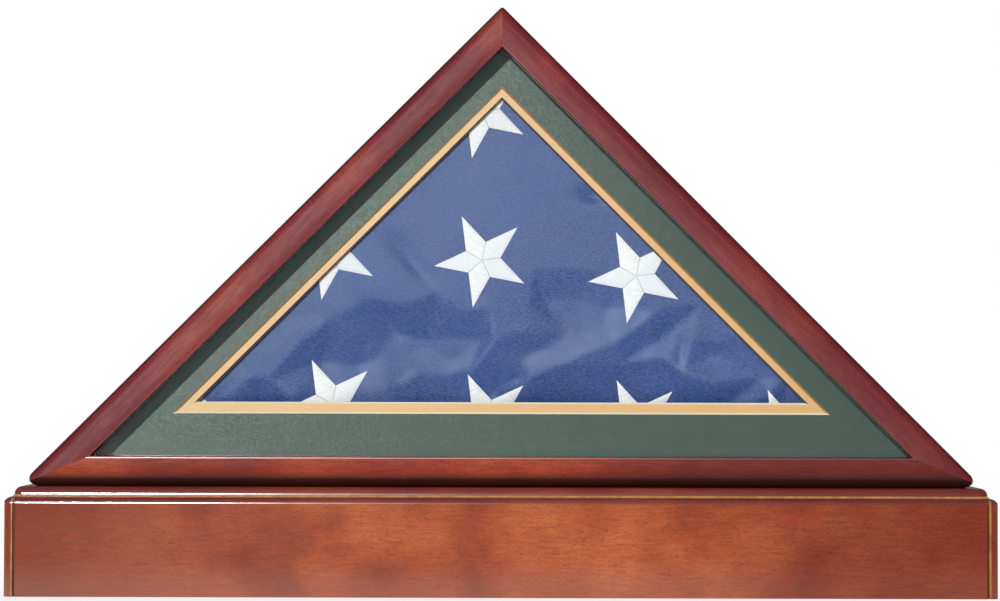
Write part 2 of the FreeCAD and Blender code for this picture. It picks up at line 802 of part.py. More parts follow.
def bottom_panel_screws():
    screws = []
    for across, back in BLOCK_PLACES.values():
        x = block_centre(across, "base_width")
        y = block_centre(back, "base_depth")
        head_end = "panel_screw_recess + panel_screw_head_height"
        head_radius = "panel_screw_head_diameter / 2"
        head = cylinder(head_radius, "panel_screw_head_height", x, y, "panel_screw_recess")
        shank = cylinder("panel_screw_diameter / 2", "panel_screw_length", x, y, head_end)
        screws.append(joined([head, shank]))
    grouped(screws, "bottom_panel_screws")


def dowel(side):
    solid = cylinder(
        "dowel_diameter / 2",
        "dowel_length",
        f"{SIDES[side]} * dowel_spacing / 2",
        "0",
        f"{BASE_HEIGHT} - dowel_seat_depth",
    )
    keep(solid, f"{side}_locating_dowel")


def build_base():
    box_board("base_front_board", "base_width", "0", "-base_depth / 2", 0, True)
    box_board("base_back_board", "base_width", "0", "base_depth / 2", 180, True)
    box_board("base_right_board", "base_depth", "base_width / 2", "0", 90, False)
    box_board("base_left_board", "base_depth", "-base_width / 2", "0", 270, False)
    top_board()
    bottom_panel()
    for corner in BLOCK_PLACES:
        corner_block(corner)
    bottom_panel_screws()
    for side in SIDES:
        dowel(side)


def build_case():
    for side in RAILS:
        rail(side)
        liner(side)
    bottom = next(p for p in parts if p.Label == "bottom_rail")
    dowel_holes(bottom)
    screw_holes(bottom, -1)
    for label, side in (("left_spline", "bottom"), ("right_spline", "right"), ("apex_spline", "left")):
        spline(label, side)
    glass()
    green_apex = "(case_width / 2 - window_side_margin * sqrt(2))"
    gold_apex = "(case_width / 2 - (window_side_margin + gold_reveal) * sqrt(2))"
    mat("green_mat", GREEN_BACK, "window_bottom_margin", green_apex)
    mat("gold_mat", GOLD_BACK, "(window_bottom_margin + gold_bottom_reveal)", gold_apex)
    flag()
    for side in SIDES:
        magnet(side)
        leaf(f"{side}_hinge_case_leaf", side, -1)
        hinge_pin(side)
    leaf_screws("case_leaf_screws", -1)


def build_door():
    door()
    for side in SIDES:
        leaf(f"{side}_hinge_door_leaf", side, 1)
        strike_plate(side)
    leaf_screws("door_leaf_screws", 1)
    knob()
    knob_screw()


build_base()
build_case()
build_door()
doc.recompute()

for thing in doc.Objects:
    if "Invalid" in thing.State or "Error" in thing.State:
        raise RuntimeError(f"{thing.Label} failed: {thing.State}")
for part in parts:
    if part.Shape.isNull() or not part.Shape.isValid():
        raise RuntimeError(f"{part.Label} has no valid shape")

os.makedirs("parts", exist_ok=True)
for part in parts:
    part.Shape.exportStep(f"parts/{part.Label}.step")
print(f"{len(parts)} sub-parts written")
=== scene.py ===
import math

import bmesh
import bpy
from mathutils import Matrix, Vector, geometry, noise
from mathutils.bvhtree import BVHTree


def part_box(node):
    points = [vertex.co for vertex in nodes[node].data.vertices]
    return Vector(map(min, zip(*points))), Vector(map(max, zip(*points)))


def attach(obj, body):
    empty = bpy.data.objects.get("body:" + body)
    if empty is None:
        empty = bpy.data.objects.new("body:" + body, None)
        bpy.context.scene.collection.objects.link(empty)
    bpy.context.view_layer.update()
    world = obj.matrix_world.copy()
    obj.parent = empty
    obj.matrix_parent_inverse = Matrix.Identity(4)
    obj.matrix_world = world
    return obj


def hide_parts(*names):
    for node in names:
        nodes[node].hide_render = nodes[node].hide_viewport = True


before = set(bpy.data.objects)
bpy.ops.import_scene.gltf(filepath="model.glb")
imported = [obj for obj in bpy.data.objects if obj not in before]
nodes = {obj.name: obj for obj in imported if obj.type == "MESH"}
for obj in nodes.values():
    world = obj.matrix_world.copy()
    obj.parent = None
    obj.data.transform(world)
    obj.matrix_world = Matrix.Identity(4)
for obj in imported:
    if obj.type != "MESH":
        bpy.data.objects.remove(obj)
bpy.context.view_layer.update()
scene = bpy.context.scene
print("frame:", len(nodes), "pieces")


# small helpers for node trees

def feed(tree, socket, value):
    if isinstance(value, bpy.types.NodeSocket):
        tree.links.new(value, socket)
    else:
        socket.default_value = value


def addNode(tree, kind, inputs=None, **settings):
    node = tree.nodes.new(kind)
    for name, value in settings.items():
        setattr(node, name, value)
    for name, value in (inputs or {}).items():
        feed(tree, node.inputs[name], value)
    return node


def calc(tree, operation, *values):
    node = addNode(tree, "ShaderNodeMath", operation=operation)
    for socket, value in zip(node.inputs, values):
        feed(tree, socket, value)
    return node.outputs[0]


def ease(tree, value, low, high, newLow=0.0, newHigh=1.0):  # smooth step between two values
    inputs = {"Value": value, "From Min": low, "From Max": high, "To Min": newLow, "To Max": newHigh}
    return addNode(tree, "ShaderNodeMapRange", inputs, interpolation_type="SMOOTHSTEP").outputs[0]


def mixColour(tree, amount, first, second, mode="MIX"):
    node = addNode(tree, "ShaderNodeMix", data_type="RGBA", blend_type=mode)
    for index, value in ((0, amount), (6, first), (7, second)):
        feed(tree, node.inputs[index], (*value, 1.0) if isinstance(value, tuple) else value)
    return node.outputs[2]


def mixShaders(tree, amount, first, second):
    return addNode(tree, "ShaderNodeMixShader", {"Fac": amount, 1: first, 2: second}).outputs[0]


def grainNoise(tree, vector, scale, detail=3.0, roughness=0.5, distortion=0.0):
    inputs = {"Vector": vector, "Scale": scale, "Detail": detail}
    inputs.update({"Roughness": roughness, "Distortion": distortion})
    return addNode(tree, "ShaderNodeTexNoise", inputs).outputs["Fac"]


def colourStops(tree, value, stops):
    node = addNode(tree, "ShaderNodeValToRGB", {"Fac": value})
    marks = node.color_ramp.elements
    while len(marks) < len(stops):
        marks.new(1.0)
    for mark, (position, colour) in zip(marks, stops):
        mark.position = position
        mark.color = (*colour, 1.0)
    return node.outputs["Color"]


def objectPoint(tree):
    return addNode(tree, "ShaderNodeTexCoord").outputs["Object"]


def placed(tree, turn=0.0, move=(0, 0, 0), stretch=(1, 1, 1), source=None):  # turned about y
    inputs = {"Vector": source or objectPoint(tree), "Location": move}
    inputs.update({"Rotation": (0, turn, 0), "Scale": stretch})
    return addNode(tree, "ShaderNodeMapping", inputs).outputs[0]


def stretchedNoise(tree, stretch, detail=3.0, roughness=0.5, distortion=0.0, **place):
    vector = placed(tree, stretch=stretch, **place)
    return grainNoise(tree, vector, 1.0, detail, roughness, distortion)


def split(tree, vector):
    return addNode(tree, "ShaderNodeSeparateXYZ", {"Vector": vector}).outputs


def relief(tree, height, depth):
    inputs = {"Height": height, "Distance": depth, "Strength": 1.0}
    return addNode(tree, "ShaderNodeBump", inputs).outputs[0]


def newMaterial(name):
    material = bpy.data.materials.new(name)
    material.use_nodes = True
    tree = material.node_tree
    return material, tree, tree.nodes["Principled BSDF"]


def finishNodes(material, *names):
    for name in names:
        data = nodes[name].data
        data.materials.clear()
        data.materials.append(material)


def addObject(name, data):
    piece = bpy.data.objects.new(name, data)
    scene.collection.objects.link(piece)
    return piece


def bakeModifiers(piece):
    shaped = piece.evaluated_get(bpy.context.evaluated_depsgraph_get())
    mesh = bpy.data.meshes.new_from_object(shaped)
    piece.modifiers.clear()
    piece.data = mesh
    mesh.shade_smooth()
    return mesh


# stained and lacquered hardwood

woodGrain = {
    "mottleStops": (0.28, 0.50, 0.66),       # where the noise is deep, middle and warm
    "streakStretch": (60, 520, 520),
    "streakShare": (0.36, 0.66, 0.0, 0.6),   # from and to in the noise, and the shares there
    "poreStretch": (380, 1500, 1500),
    "poreShare": (0.50, 0.72, 0.0, 0.5),
    "poreDepth": -0.5,                       # against the height of the streaks
    "relief": 0.000012,
    "glossSpread": 0.03,
}
railLook = {
    "face": 0.0205,           # width of a rail's face
    "halfWidth": 0.33,
    "underside": 0.074,
    "mottle": 10.0,
    "deep": (0.100, 0.009, 0.011),
    "middle": (0.178, 0.018, 0.022),
    "warm": (0.240, 0.034, 0.026),
    # dark of the pores, also used as painted shade on the rounded outer edges
    "streak": (0.62, 0.50, 0.46),
    "poreDarkAndShade": (0.016, 0.004, 0.003),
    "gloss": 0.50,
    "edgeGloss": 0.16,
    "shine": 0.22,
    "edgeCoat": 1.5,
    "coatGloss": 0.22,
    "sightLine": (0.0016, 0.0009),    # from the sight edge, the bright line round the glass
    "frontEdge": (-0.043, -0.036),    # the painted shade on the outer edge ends behind the front's rounded edge
    "sideMatt": 0.24,                 # the sides are less glossy than the front
    "outerEdgeShade": (0.0002, 0.0034),   # from the outer edge, where the painted shade on the rounded edge ends
    "outerShadeShare": 0.93,
    "darkening": (0.05, 0.30, 0.0, 0.60),  # where the colour gets darker along x, and the shares there
}
bottomRailLook = dict(
    railLook,
    deep=(0.100, 0.011, 0.009),
    middle=(0.250, 0.026, 0.010),
    warm=(0.325, 0.047, 0.014),
    darkening=(0.02, 0.22, 0.0, 0.8),
    # the painted shade on the rounded lower outer edge reaches further here
    outerEdgeShade=(0.0042, 0.0112),
    shine=0.14,
    edgeCoat=2.0,
)
baseLook = {
    "mottle": 17.0,
    "deep": (0.165, 0.017, 0.003),
    "middle": (0.355, 0.068, 0.018),
    "warm": (0.440, 0.108, 0.033),
    "streak": (0.66, 0.54, 0.48),
    # dark of the pores, also used as painted shade in the groove beside the bead
    "poreDarkAndShade": (0.045, 0.008, 0.003),
    "mouldShadeTone": (0.12, 0.016, 0.015),   # painted shade: the moulded edges and the top board are painted a darker red than the faces
    "mouldShadeShare": 0.7,
    "gloss": 0.17,
    "edgeGloss": 0.18,
    "shine": 0.30,
    "edgeCoat": 1.5,
    "coatGloss": 0.12,
    # painted shade in the quirk groove beside the front bead
    "groove": (0.3277, 0.3297),
    "grooveShadeShare": 0.85,
    "footGlareAndShade": (0.320, 0.150, 0.120),        # painted floor reflection and painted contact shade along the lower edge
    "footHeight": 0.030,
    "footPaintedShare": 0.34,
    "footFade": (0.05, 0.26, 1.0, 0.3),   # it is weaker on the right
    "palest": 0.020,          # how far left of the middle the colour is palest
    "darkening": (0.10, 0.32, 0.0, 0.80),
    "beadEdge": 0.3300,       # the front bead's arris, from the middle
    "faceTop": 0.0625,        # where the flat faces of the box end
    "mouldBlend": 0.001,
    "lipLevel": 0.0680,
    "wornEdge": (0.46, 0.20, 0.045),
    "wornWidth": (0.0003, 0.0009),
    "wornPatch": (160, 160, 90),
    "wornShare": (0.32, 0.62, 0.45, 0.9),
}


def woodColour(tree, along, place, look):
    mottle = grainNoise(tree, along, look["mottle"])
    tones = (look["deep"], look["middle"], look["warm"])
    colour = colourStops(tree, mottle, tuple(zip(woodGrain["mottleStops"], tones)))
    colour = mixColour(tree, ease(tree, place, *look["darkening"]), colour, look["deep"])
    streaks = stretchedNoise(tree, woodGrain["streakStretch"], 5.0, 0.65, 0.3, source=along)
    streaked = ease(tree, streaks, *woodGrain["streakShare"])
    colour = mixColour(tree, streaked, colour, look["streak"], "MULTIPLY")
    pores = stretchedNoise(tree, woodGrain["poreStretch"], 2.0, 0.6, move=(3, 1, 2), source=along)
    colour = mixColour(tree, ease(tree, pores, *woodGrain["poreShare"]), colour, look["poreDarkAndShade"])
    return colour, streaks, pores


def lacquer(tree, shader, colour, streaks, pores, edge, look, matt=0.0):  # edge: where it is polished
    height = calc(tree, "MULTIPLY_ADD", pores, woodGrain["poreDepth"], streaks)
    gloss, spread = look["gloss"], woodGrain["glossSpread"]
    satin = calc(tree, "ADD", ease(tree, streaks, 0.3, 0.7, gloss - spread, gloss + spread), matt)
    keen = calc(tree, "MULTIPLY", edge, gloss - look["edgeGloss"])
    feed(tree, shader.inputs["Base Color"], colour)
    feed(tree, shader.inputs["Roughness"], calc(tree, "SUBTRACT", satin, keen))
    feed(tree, shader.inputs["Normal"], relief(tree, height, woodGrain["relief"]))
    feed(tree, shader.inputs["Coat Weight"], edge)
    shader.inputs["Specular IOR Level"].default_value = look["shine"]
    shader.inputs["Coat IOR"].default_value = look["edgeCoat"]
    shader.inputs["Coat Roughness"].default_value = look["coatGloss"]


def railWood(name, turn, edge, look):
    material, tree, shader = newMaterial(name)
    along = placed(tree, turn, (0, 0, -edge))
    across = calc(tree, "MULTIPLY", split(tree, along)[2], -1.0)  # inwards from the rail's outer edge
    place, depth, _ = split(tree, objectPoint(tree))
    colour, streaks, pores = woodColour(tree, along, place, look)
    # painted shade on the rounded outer edge, ending behind the front
    outer = ease(tree, across, *look["outerEdgeShade"], look["outerShadeShare"], 0.0)
    outer = calc(tree, "MULTIPLY", outer, ease(tree, depth, *look["frontEdge"], 1.0, 0.0))
    colour = mixColour(tree, outer, colour, look["poreDarkAndShade"])
    polish = ease(tree, across, *(look["face"] - inset for inset in look["sightLine"]))
    matt = ease(tree, depth, *look["frontEdge"], 0.0, look["sideMatt"])
    lacquer(tree, shader, colour, streaks, pores, polish, look, matt)
    return material


def finishRails():
    slant = (railLook["halfWidth"] + railLook["underside"]) * math.sqrt(0.5)
    finishNodes(railWood("leftRailLacquer", math.radians(45), slant, railLook), "left_rail")
    finishNodes(railWood("rightRailLacquer", math.radians(-45), slant, railLook), "right_rail")
    bottom = railWood("bottomRailLacquer", math.radians(180), -railLook["underside"], bottomRailLook)
    finishNodes(bottom, "bottom_rail")


def baseWood(name, endwise, worn):
    material, tree, shader = newMaterial(name)
    point = objectPoint(tree)
    x, y, z = split(tree, point)
    far = calc(tree, "ABSOLUTE", x)
    along = point
    if endwise:  # the grain of the end boards runs front to back
        along = addNode(tree, "ShaderNodeCombineXYZ", {"X": y, "Y": x, "Z": z}).outputs[0]
    place = calc(tree, "ABSOLUTE", calc(tree, "ADD", x, baseLook["palest"]))
    colour, streaks, pores = woodColour(tree, along, place, baseLook)
    # painted floor reflection and contact shade, fading upwards and to the right
    footPaintedLight = ease(tree, z, 0.0, baseLook["footHeight"], baseLook["footPaintedShare"], 0.0)
    footPaintedLight = calc(tree, "MULTIPLY", footPaintedLight, ease(tree, x, *baseLook["footFade"]))
    colour = mixColour(tree, footPaintedLight, colour, baseLook["footGlareAndShade"])
    # painted shade in the quirk groove
    start, end = baseLook["groove"]
    within = calc(tree, "MULTIPLY", calc(tree, "GREATER_THAN", far, start), calc(tree, "LESS_THAN", far, end))
    grooveShade = calc(tree, "MULTIPLY", within, baseLook["grooveShadeShare"])
    colour = mixColour(tree, grooveShade, colour, baseLook["poreDarkAndShade"])
    # painted shade over the moulded edges and the top board; the same zone gets the coat
    mould = ease(tree, z, baseLook["faceTop"], baseLook["faceTop"] + baseLook["mouldBlend"])
    mouldShade = calc(tree, "MULTIPLY", mould, baseLook["mouldShadeShare"])
    colour = mixColour(tree, mouldShade, colour, baseLook["mouldShadeTone"])
    arris, level = (far, baseLook["beadEdge"]) if worn == "bead" else (z, baseLook["lipLevel"])
    offset = calc(tree, "ABSOLUTE", calc(tree, "SUBTRACT", arris, level))
    patchy = stretchedNoise(tree, baseLook["wornPatch"], 3.0, 0.6, move=(5, 0, 0), source=point)
    rubbed = ease(tree, offset, *baseLook["wornWidth"], 1.0, 0.0)
    rubbed = calc(tree, "MULTIPLY", rubbed, ease(tree, patchy, *baseLook["wornShare"]))
    colour = mixColour(tree, rubbed, colour, baseLook["wornEdge"])
    lacquer(tree, shader, colour, streaks, pores, mould, baseLook)
    return material


finishRails()
finishNodes(baseWood("boxBoardLacquer", False, "bead"), "base_front_board", "base_back_board")
finishNodes(baseWood("endBoardLacquer", True, "bead"), "base_left_board", "base_right_board")
finishNodes(baseWood("topBoardLacquer", False, "lip"), "base_top_board")
print("lacquered wood done")


# plain wood inside and underneath, and the thin back door

bareLook = {
    "ringStretch": 0.12,      # of the rings, as a share of the fibres'
    "ringShare": 0.6,
    "tones": (0.35, 0.62),    # where the figure is dark and light
    "glossSpread": 0.08,
    "relief": 0.00012,
}


def bareWood(name, light, dark, stretch, gloss):
    material, tree, shader = newMaterial(name)
    fibres = stretchedNoise(tree, stretch, 5.0, 0.6, 0.3)
    wide = tuple(bareLook["ringStretch"] * length for length in stretch)
    rings = stretchedNoise(tree, wide, 3.0, 0.5, 0.8, move=(2, 4, 1))
    fine = calc(tree, "MULTIPLY", fibres, 1.0 - bareLook["ringShare"])
    figure = calc(tree, "MULTIPLY_ADD", rings, bareLook["ringShare"], fine)
    spread = bareLook["glossSpread"]
    tones = tuple(zip(bareLook["tones"], (dark, light)))
    feed(tree, shader.inputs["Base Color"], colourStops(tree, figure, tones))
    feed(tree, shader.inputs["Roughness"], ease(tree, fibres, 0.3, 0.7, gloss - spread, gloss + spread))
    feed(tree, shader.inputs["Normal"], relief(tree, fibres, bareLook["relief"]))
    return material


panelWood = bareWood("paleBoard", (0.56, 0.38, 0.21), (0.42, 0.26, 0.13), (40, 400, 400), 0.62)
blockWood = bareWood("paleBlock", (0.60, 0.42, 0.24), (0.46, 0.29, 0.15), (400, 400, 40), 0.66)
beechWood = bareWood("beech", (0.66, 0.46, 0.27), (0.52, 0.33, 0.17), (300, 300, 45), 0.55)
doorWood = bareWood("doorPanel", (0.17, 0.062, 0.032), (0.085, 0.027, 0.015), (24, 300, 300), 0.46)
finishNodes(panelWood, "base_bottom_panel")
for corner in ("front_left", "front_right", "back_left", "back_right"):
    finishNodes(blockWood, corner + "_corner_block")
finishNodes(beechWood, "left_locating_dowel", "right_locating_dowel")
finishNodes(beechWood, "left_spline", "right_spline", "apex_spline")
finishNodes(doorWood, "back_door")
print("bare wood done")


# mat boards and lined walls

matLook = {
    "green": (0.030, 0.064, 0.049),
    "greenFleck": (0.045, 0.085, 0.067),
    "lining": (0.026, 0.050, 0.040),
    "gold": (0.62, 0.33, 0.105),
    "goldFleck": (0.68, 0.40, 0.15),
    "core": (0.90, 0.80, 0.60),       # the pale heart of the board, used only on the upward-facing lower bevel, painted lit there
    # painted shade on the gold board's bevels of the sloping sides
    "goldBevelShade": (0.075, 0.045, 0.030),
    "greenBevelShade": (0.36, 0.19, 0.06),   # painted shade on the bevels of the sloping sides
    "gloss": 0.21,
    "goldGloss": 0.34,
    "liningGloss": 0.55,
    "glossSpread": 0.04,
    "shine": 0.58,
    "fibreStretch": (900, 900, 900),
    "fibreShare": (0.45, 0.75, 0.0, 0.5),
    "cloudStretch": (22, 22, 22),
    "cloudShare": (0.3, 0.7, 0.0, 0.25),
    "bevelFacing": (0.3, 0.5, 0.85, 0.95),   # a cut bevel faces the front between these shares
    "litBevelFacing": (0.1, 0.3),               # and the lower one faces upwards from here; it is painted lit, the sloping ones shaded
    "relief": 0.000004,
}


def boardPaper(name, *keys):
    colour, fleck, bevelShade, gloss = (matLook[key] for key in keys)
    material, tree, shader = newMaterial(name)
    point = objectPoint(tree)
    fibre = stretchedNoise(tree, matLook["fibreStretch"], 3.0, 0.6, source=point)
    cloud = stretchedNoise(tree, matLook["cloudStretch"], source=point)
    tone = mixColour(tree, ease(tree, fibre, *matLook["fibreShare"]), colour, fleck)
    tone = mixColour(tree, ease(tree, cloud, *matLook["cloudShare"]), tone, fleck)
    _, front, upward = split(tree, addNode(tree, "ShaderNodeTexCoord").outputs["Normal"])
    facing = calc(tree, "ABSOLUTE", front)
    steep, lessSteep, almostFlat, flat = matLook["bevelFacing"]
    slanted = ease(tree, facing, steep, lessSteep)
    bevel = calc(tree, "MULTIPLY", slanted, ease(tree, facing, almostFlat, flat, 1.0, 0.0))
    # painted light and shade: the upward bevel gets the pale core, the sloping ones painted shade
    litAndShadedBevel = mixColour(tree, ease(tree, upward, *matLook["litBevelFacing"]), bevelShade, matLook["core"])
    spread = matLook["glossSpread"]
    feed(tree, shader.inputs["Base Color"], mixColour(tree, bevel, tone, litAndShadedBevel))
    feed(tree, shader.inputs["Roughness"], ease(tree, fibre, 0.3, 0.7, gloss - spread, gloss + spread))
    feed(tree, shader.inputs["Normal"], relief(tree, fibre, matLook["relief"]))
    shader.inputs["Specular IOR Level"].default_value = matLook["shine"]
    return material


finishNodes(boardPaper("greenBoard", "green", "greenFleck", "greenBevelShade", "gloss"), "green_mat")
finishNodes(boardPaper("goldBoard", "gold", "goldFleck", "goldBevelShade", "goldGloss"), "gold_mat")
liningBoard = boardPaper("liningBoard", "lining", "green", "lining", "liningGloss")
finishNodes(liningBoard, "left_liner", "right_liner", "bottom_liner")
print("mats done")


# glass, brass and steel

glassLook = {
    "tint": (0.985, 0.995, 0.99, 1.0),
    "clear": (0.96, 0.975, 0.97, 1.0),
    "refraction": 1.5,
}
metalLook = {
    "spotStretch": (180, 180, 180),
    "tarnishShare": (0.5, 0.75, 0.0, 0.55),
    "keener": 0.07,           # how far the gloss varies, down and up
    "duller": 0.09,
    "relief": 0.00002,
}


def paneGlass():
    material, tree, shader = newMaterial("paneGlass")
    shader.inputs["Base Color"].default_value = glassLook["tint"]
    shader.inputs["Roughness"].default_value = 0.0
    shader.inputs["IOR"].default_value = glassLook["refraction"]
    shader.inputs["Transmission Weight"].default_value = 1.0
    clear = addNode(tree, "ShaderNodeBsdfTransparent", {"Color": glassLook["clear"]}).outputs[0]
    path = addNode(tree, "ShaderNodeLightPath").outputs
    surface = shader.outputs[0]
    for ray in ("Is Shadow Ray", "Is Diffuse Ray", "Is Glossy Ray"):  # lamps and scattered light pass
        surface = mixShaders(tree, path[ray], surface, clear)
    tree.links.new(surface, tree.nodes["Material Output"].inputs["Surface"])
    return material


def workedMetal(name, colour, tarnish, gloss, stretch):
    material, tree, shader = newMaterial(name)
    brushed = stretchedNoise(tree, stretch, 3.0, 0.6)
    spots = stretchedNoise(tree, metalLook["spotStretch"], 4.0, 0.65, move=(7, 3, 1))
    dulled = ease(tree, spots, *metalLook["tarnishShare"])
    keen, dull = gloss - metalLook["keener"], gloss + metalLook["duller"]
    feed(tree, shader.inputs["Base Color"], mixColour(tree, dulled, colour, tarnish))
    feed(tree, shader.inputs["Roughness"], ease(tree, brushed, 0.3, 0.7, keen, dull))
    feed(tree, shader.inputs["Normal"], relief(tree, brushed, metalLook["relief"]))
    shader.inputs["Metallic"].default_value = 1.0
    return material


hingeBrass = workedMetal("hingeBrass", (0.74, 0.52, 0.21), (0.42, 0.26, 0.09), 0.30, (120, 1800, 1800))
platedSteel = workedMetal("platedSteel", (0.66, 0.66, 0.65), (0.48, 0.47, 0.45), 0.26, (900, 900, 900))
zincSteel = workedMetal("zincSteel", (0.55, 0.55, 0.53), (0.36, 0.35, 0.32), 0.36, (900, 900, 900))
finishNodes(paneGlass(), "glass_pane")
for side in ("left", "right"):
    finishNodes(hingeBrass, side + "_hinge_case_leaf", side + "_hinge_door_leaf", side + "_hinge_pin")
    finishNodes(platedSteel, side + "_catch_magnet", side + "_strike_plate")
finishNodes(hingeBrass, "case_leaf_screws", "door_leaf_screws", "door_knob")
finishNodes(platedSteel, "knob_screw")
finishNodes(zincSteel, "bottom_panel_screws")
print("glass and metal done")


# the folded flag: a padded bundle of cloth with embroidered stars

flagLook = {
    "voxel": 0.0020,
    "smoothRounds": 14,
    "smoothing": 0.5,
    "recess": 0.0030,         # how far the cloth lies behind the mat
    "blue": (0.004, 0.019, 0.118),
    "blueLight": (0.033, 0.079, 0.284),
    "gloss": 0.46,
    "glossSpread": 0.05,
    "shine": 0.46,
    "shineTint": (0.80, 0.90, 1.0, 1.0),
    "weaveStretch": (420, 900, 1500),
    "weaveTurn": 12.0,        # degrees
    "weaveShare": (0.40, 0.60),
    "weaveRelief": 0.00007,
    "fadedStretch": (14, 14, 14),
    "fadedShare": (0.35, 0.7, 0.0, 0.3),
    "depth": 1.35,            # how strongly the facets and creases below are pressed in
    "facetSoft": 1.9,         # how far the facets' edges are rounded (mm)
    "warp": 4.0,              # how far the creases wander, and over what length (mm)
    "warpLength": 30.0,
    "warpSeed": 7,            # keeps the wandering the same in every run
    "returnSlope": 2.2,       # a crease has a long slope down and a shorter one back
    "rumple": 0.8,            # height and length of the small unevenness (mm)
    "rumpleLength": 24.0,
    "calmTop": 235.0,         # above this height the cloth is calm (mm)
    "calmSpan": 80.0,
    "calmLeast": 0.2,
    "foldSoft": 1.2,          # roundness of the fold edges on the back (mm)
}
# facets of the crumpled front: corners across and up, and how deep each lies (mm)
facetCorners = (
    (-300, 85, 2), (300, 85, 2), (0, 390, 0), (-155, 235, 0), (155, 235, 0),
    (-250, 118, 3), (-185, 118, 4.5), (-165, 118, 8), (-145, 118, 3.5), (-110, 118, 4), (-80, 118, 6),
    (-50, 118, 9), (-22, 118, 8.5), (0, 118, 6), (20, 118, 8.5), (50, 118, 9.5), (80, 118, 9),
    (118, 118, 9), (150, 118, 8), (187, 118, 6), (235, 118, 3),
    (-192, 135, 1.5), (-172, 147, 0.5), (-160, 145, 0.5), (-143, 135, 1.5),
    (-82, 136, 4.0), (-55, 152, 4.5), (-40, 149, 4.5), (-24, 153, 3.8),
    (-5, 173, 0.5), (-20, 152, 3.0), (16, 150, 3.8), (-5, 139, 6.5),
    (19, 146, 2.5), (42, 157, 1.4), (60, 167, 0.7), (80, 171, 0.7),
    (84, 156, 2.0), (125, 152, 1.0), (150, 145, 1.2), (188, 137, 1.5),
    (108, 194, 0.3), (118, 198, 0.3), (92, 163, 2.6), (110, 176, 2.6),
    (122, 188, 1.9), (110, 160, 1.9), (131, 174, 1.3),
    (-139, 173, 0.3), (-118, 190, 0.3), (-97, 201, 0.3), (-128, 159, 4.0), (-108, 156, 4.6),
    (-90, 161, 4.6), (-105, 138, 4.0), (-128, 140, 3.4),
    (-72, 199, 0.3), (-45, 207, 0.3), (-28, 194, 0.5), (-76, 179, 4.3), (-50, 178, 4.6),
    (-16, 174, 3.0), (-60, 158, 4.5), (-35, 159, 4.4),
    (25, 223, 0.2), (48, 225, 0.2), (80, 217, 0.2), (30, 200, 2.0), (55, 202, 2.3),
    (78, 200, 2.0), (45, 181, 2.0), (70, 184, 1.9),
    (20, 198, 0.8), (8, 178, 0.6), (17, 160, 2.8),
    (140, 202, 0.3), (165, 176, 0.5), (150, 164, 2.4), (176, 150, 2.2), (204, 150, 1.2),
    (-100, 232, 0), (-60, 232, 0.2), (0, 290, 0), (-40, 270, 0.2), (40, 270, 0.2), (0, 250, 0.2),
    (0, 215, 0.3),
    (100, 236, 0.2), (-150, 190, 0.4), (-180, 165, 0.4), (-212, 150, 0.8), (-10, 195, 0.3),
)
# thin creases: place across and up, direction, half length, width of the slope above, depth (mm)
frontCreases = (
    (-64, 229, -45, 26, 7, 0.8),
    (64, 274, -10, 9, 6, 1.1),
    (-84, 190, -42, 14, 6, 1.2),
    (126, 168, 78, 12, 5, 0.8),
)
# edges of the folded layers on the back: a point, direction of the edge, height of its step (mm)
backFolds = (
    (40, 150, 45, 2.2),
    (-60, 150, -45, 1.6),
    (0, 118, 0, 1.4),
)


def facetSurface():
    flat = [Vector(corner[:2]) for corner in facetCorners]
    places, _, faces, origins, _, _ = geometry.delaunay_2d_cdt(flat, [], [], 0, 1e-4)
    heights = [facetCorners[origin[0]][2] for origin in origins]
    return BVHTree.FromPolygons([Vector((p.x, p.y, h)) for p, h in zip(places, heights)], faces)


def facetDepth(surface, x, z):
    reach = flagLook["facetSoft"]
    steps = ((0, 0), (reach, 0), (-reach, 0), (0, reach), (0, -reach))
    total = 0.0
    for dx, dz in steps:
        hit = surface.ray_cast(Vector((x + dx, z + dz, 50.0)), Vector((0, 0, -1)))[0]
        total += hit.z if hit else 0.0
    return total / len(steps)


def alongLine(dx, dz, angle):  # how far along a line a point lies, and how far above it
    c, s = math.cos(math.radians(angle)), math.sin(math.radians(angle))
    return dx * c + dz * s, dz * c - dx * s


def hollowDepth(surface, x, z):
    place = Vector((x, z, 0.0))
    warp = noise.noise_vector(place / flagLook["warpLength"]) * flagLook["warp"]
    depth = flagLook["depth"] * facetDepth(surface, x + warp.x, z + warp.y)
    for across, up, angle, reach, width, deep in frontCreases:
        along, above = alongLine(x + warp.x - across, z + warp.y - up, angle)
        u, v = along / reach, above / width
        slope = math.exp(-(v * v if v > 0 else flagLook["returnSlope"] * v * v))
        depth += flagLook["depth"] * deep * math.exp(-u * u) * slope
    calm = min(max((flagLook["calmTop"] - z) / flagLook["calmSpan"], flagLook["calmLeast"]), 1.0)
    return depth + flagLook["rumple"] * calm * (1.0 - abs(noise.noise(place / flagLook["rumpleLength"])))


def foldStep(x, z):
    height = 0.0
    for across, up, angle, step in backFolds:
        _, above = alongLine(x - across, z - up, angle)
        height += step * 0.5 * (1.0 - math.tanh(above / flagLook["foldSoft"]))
    return height


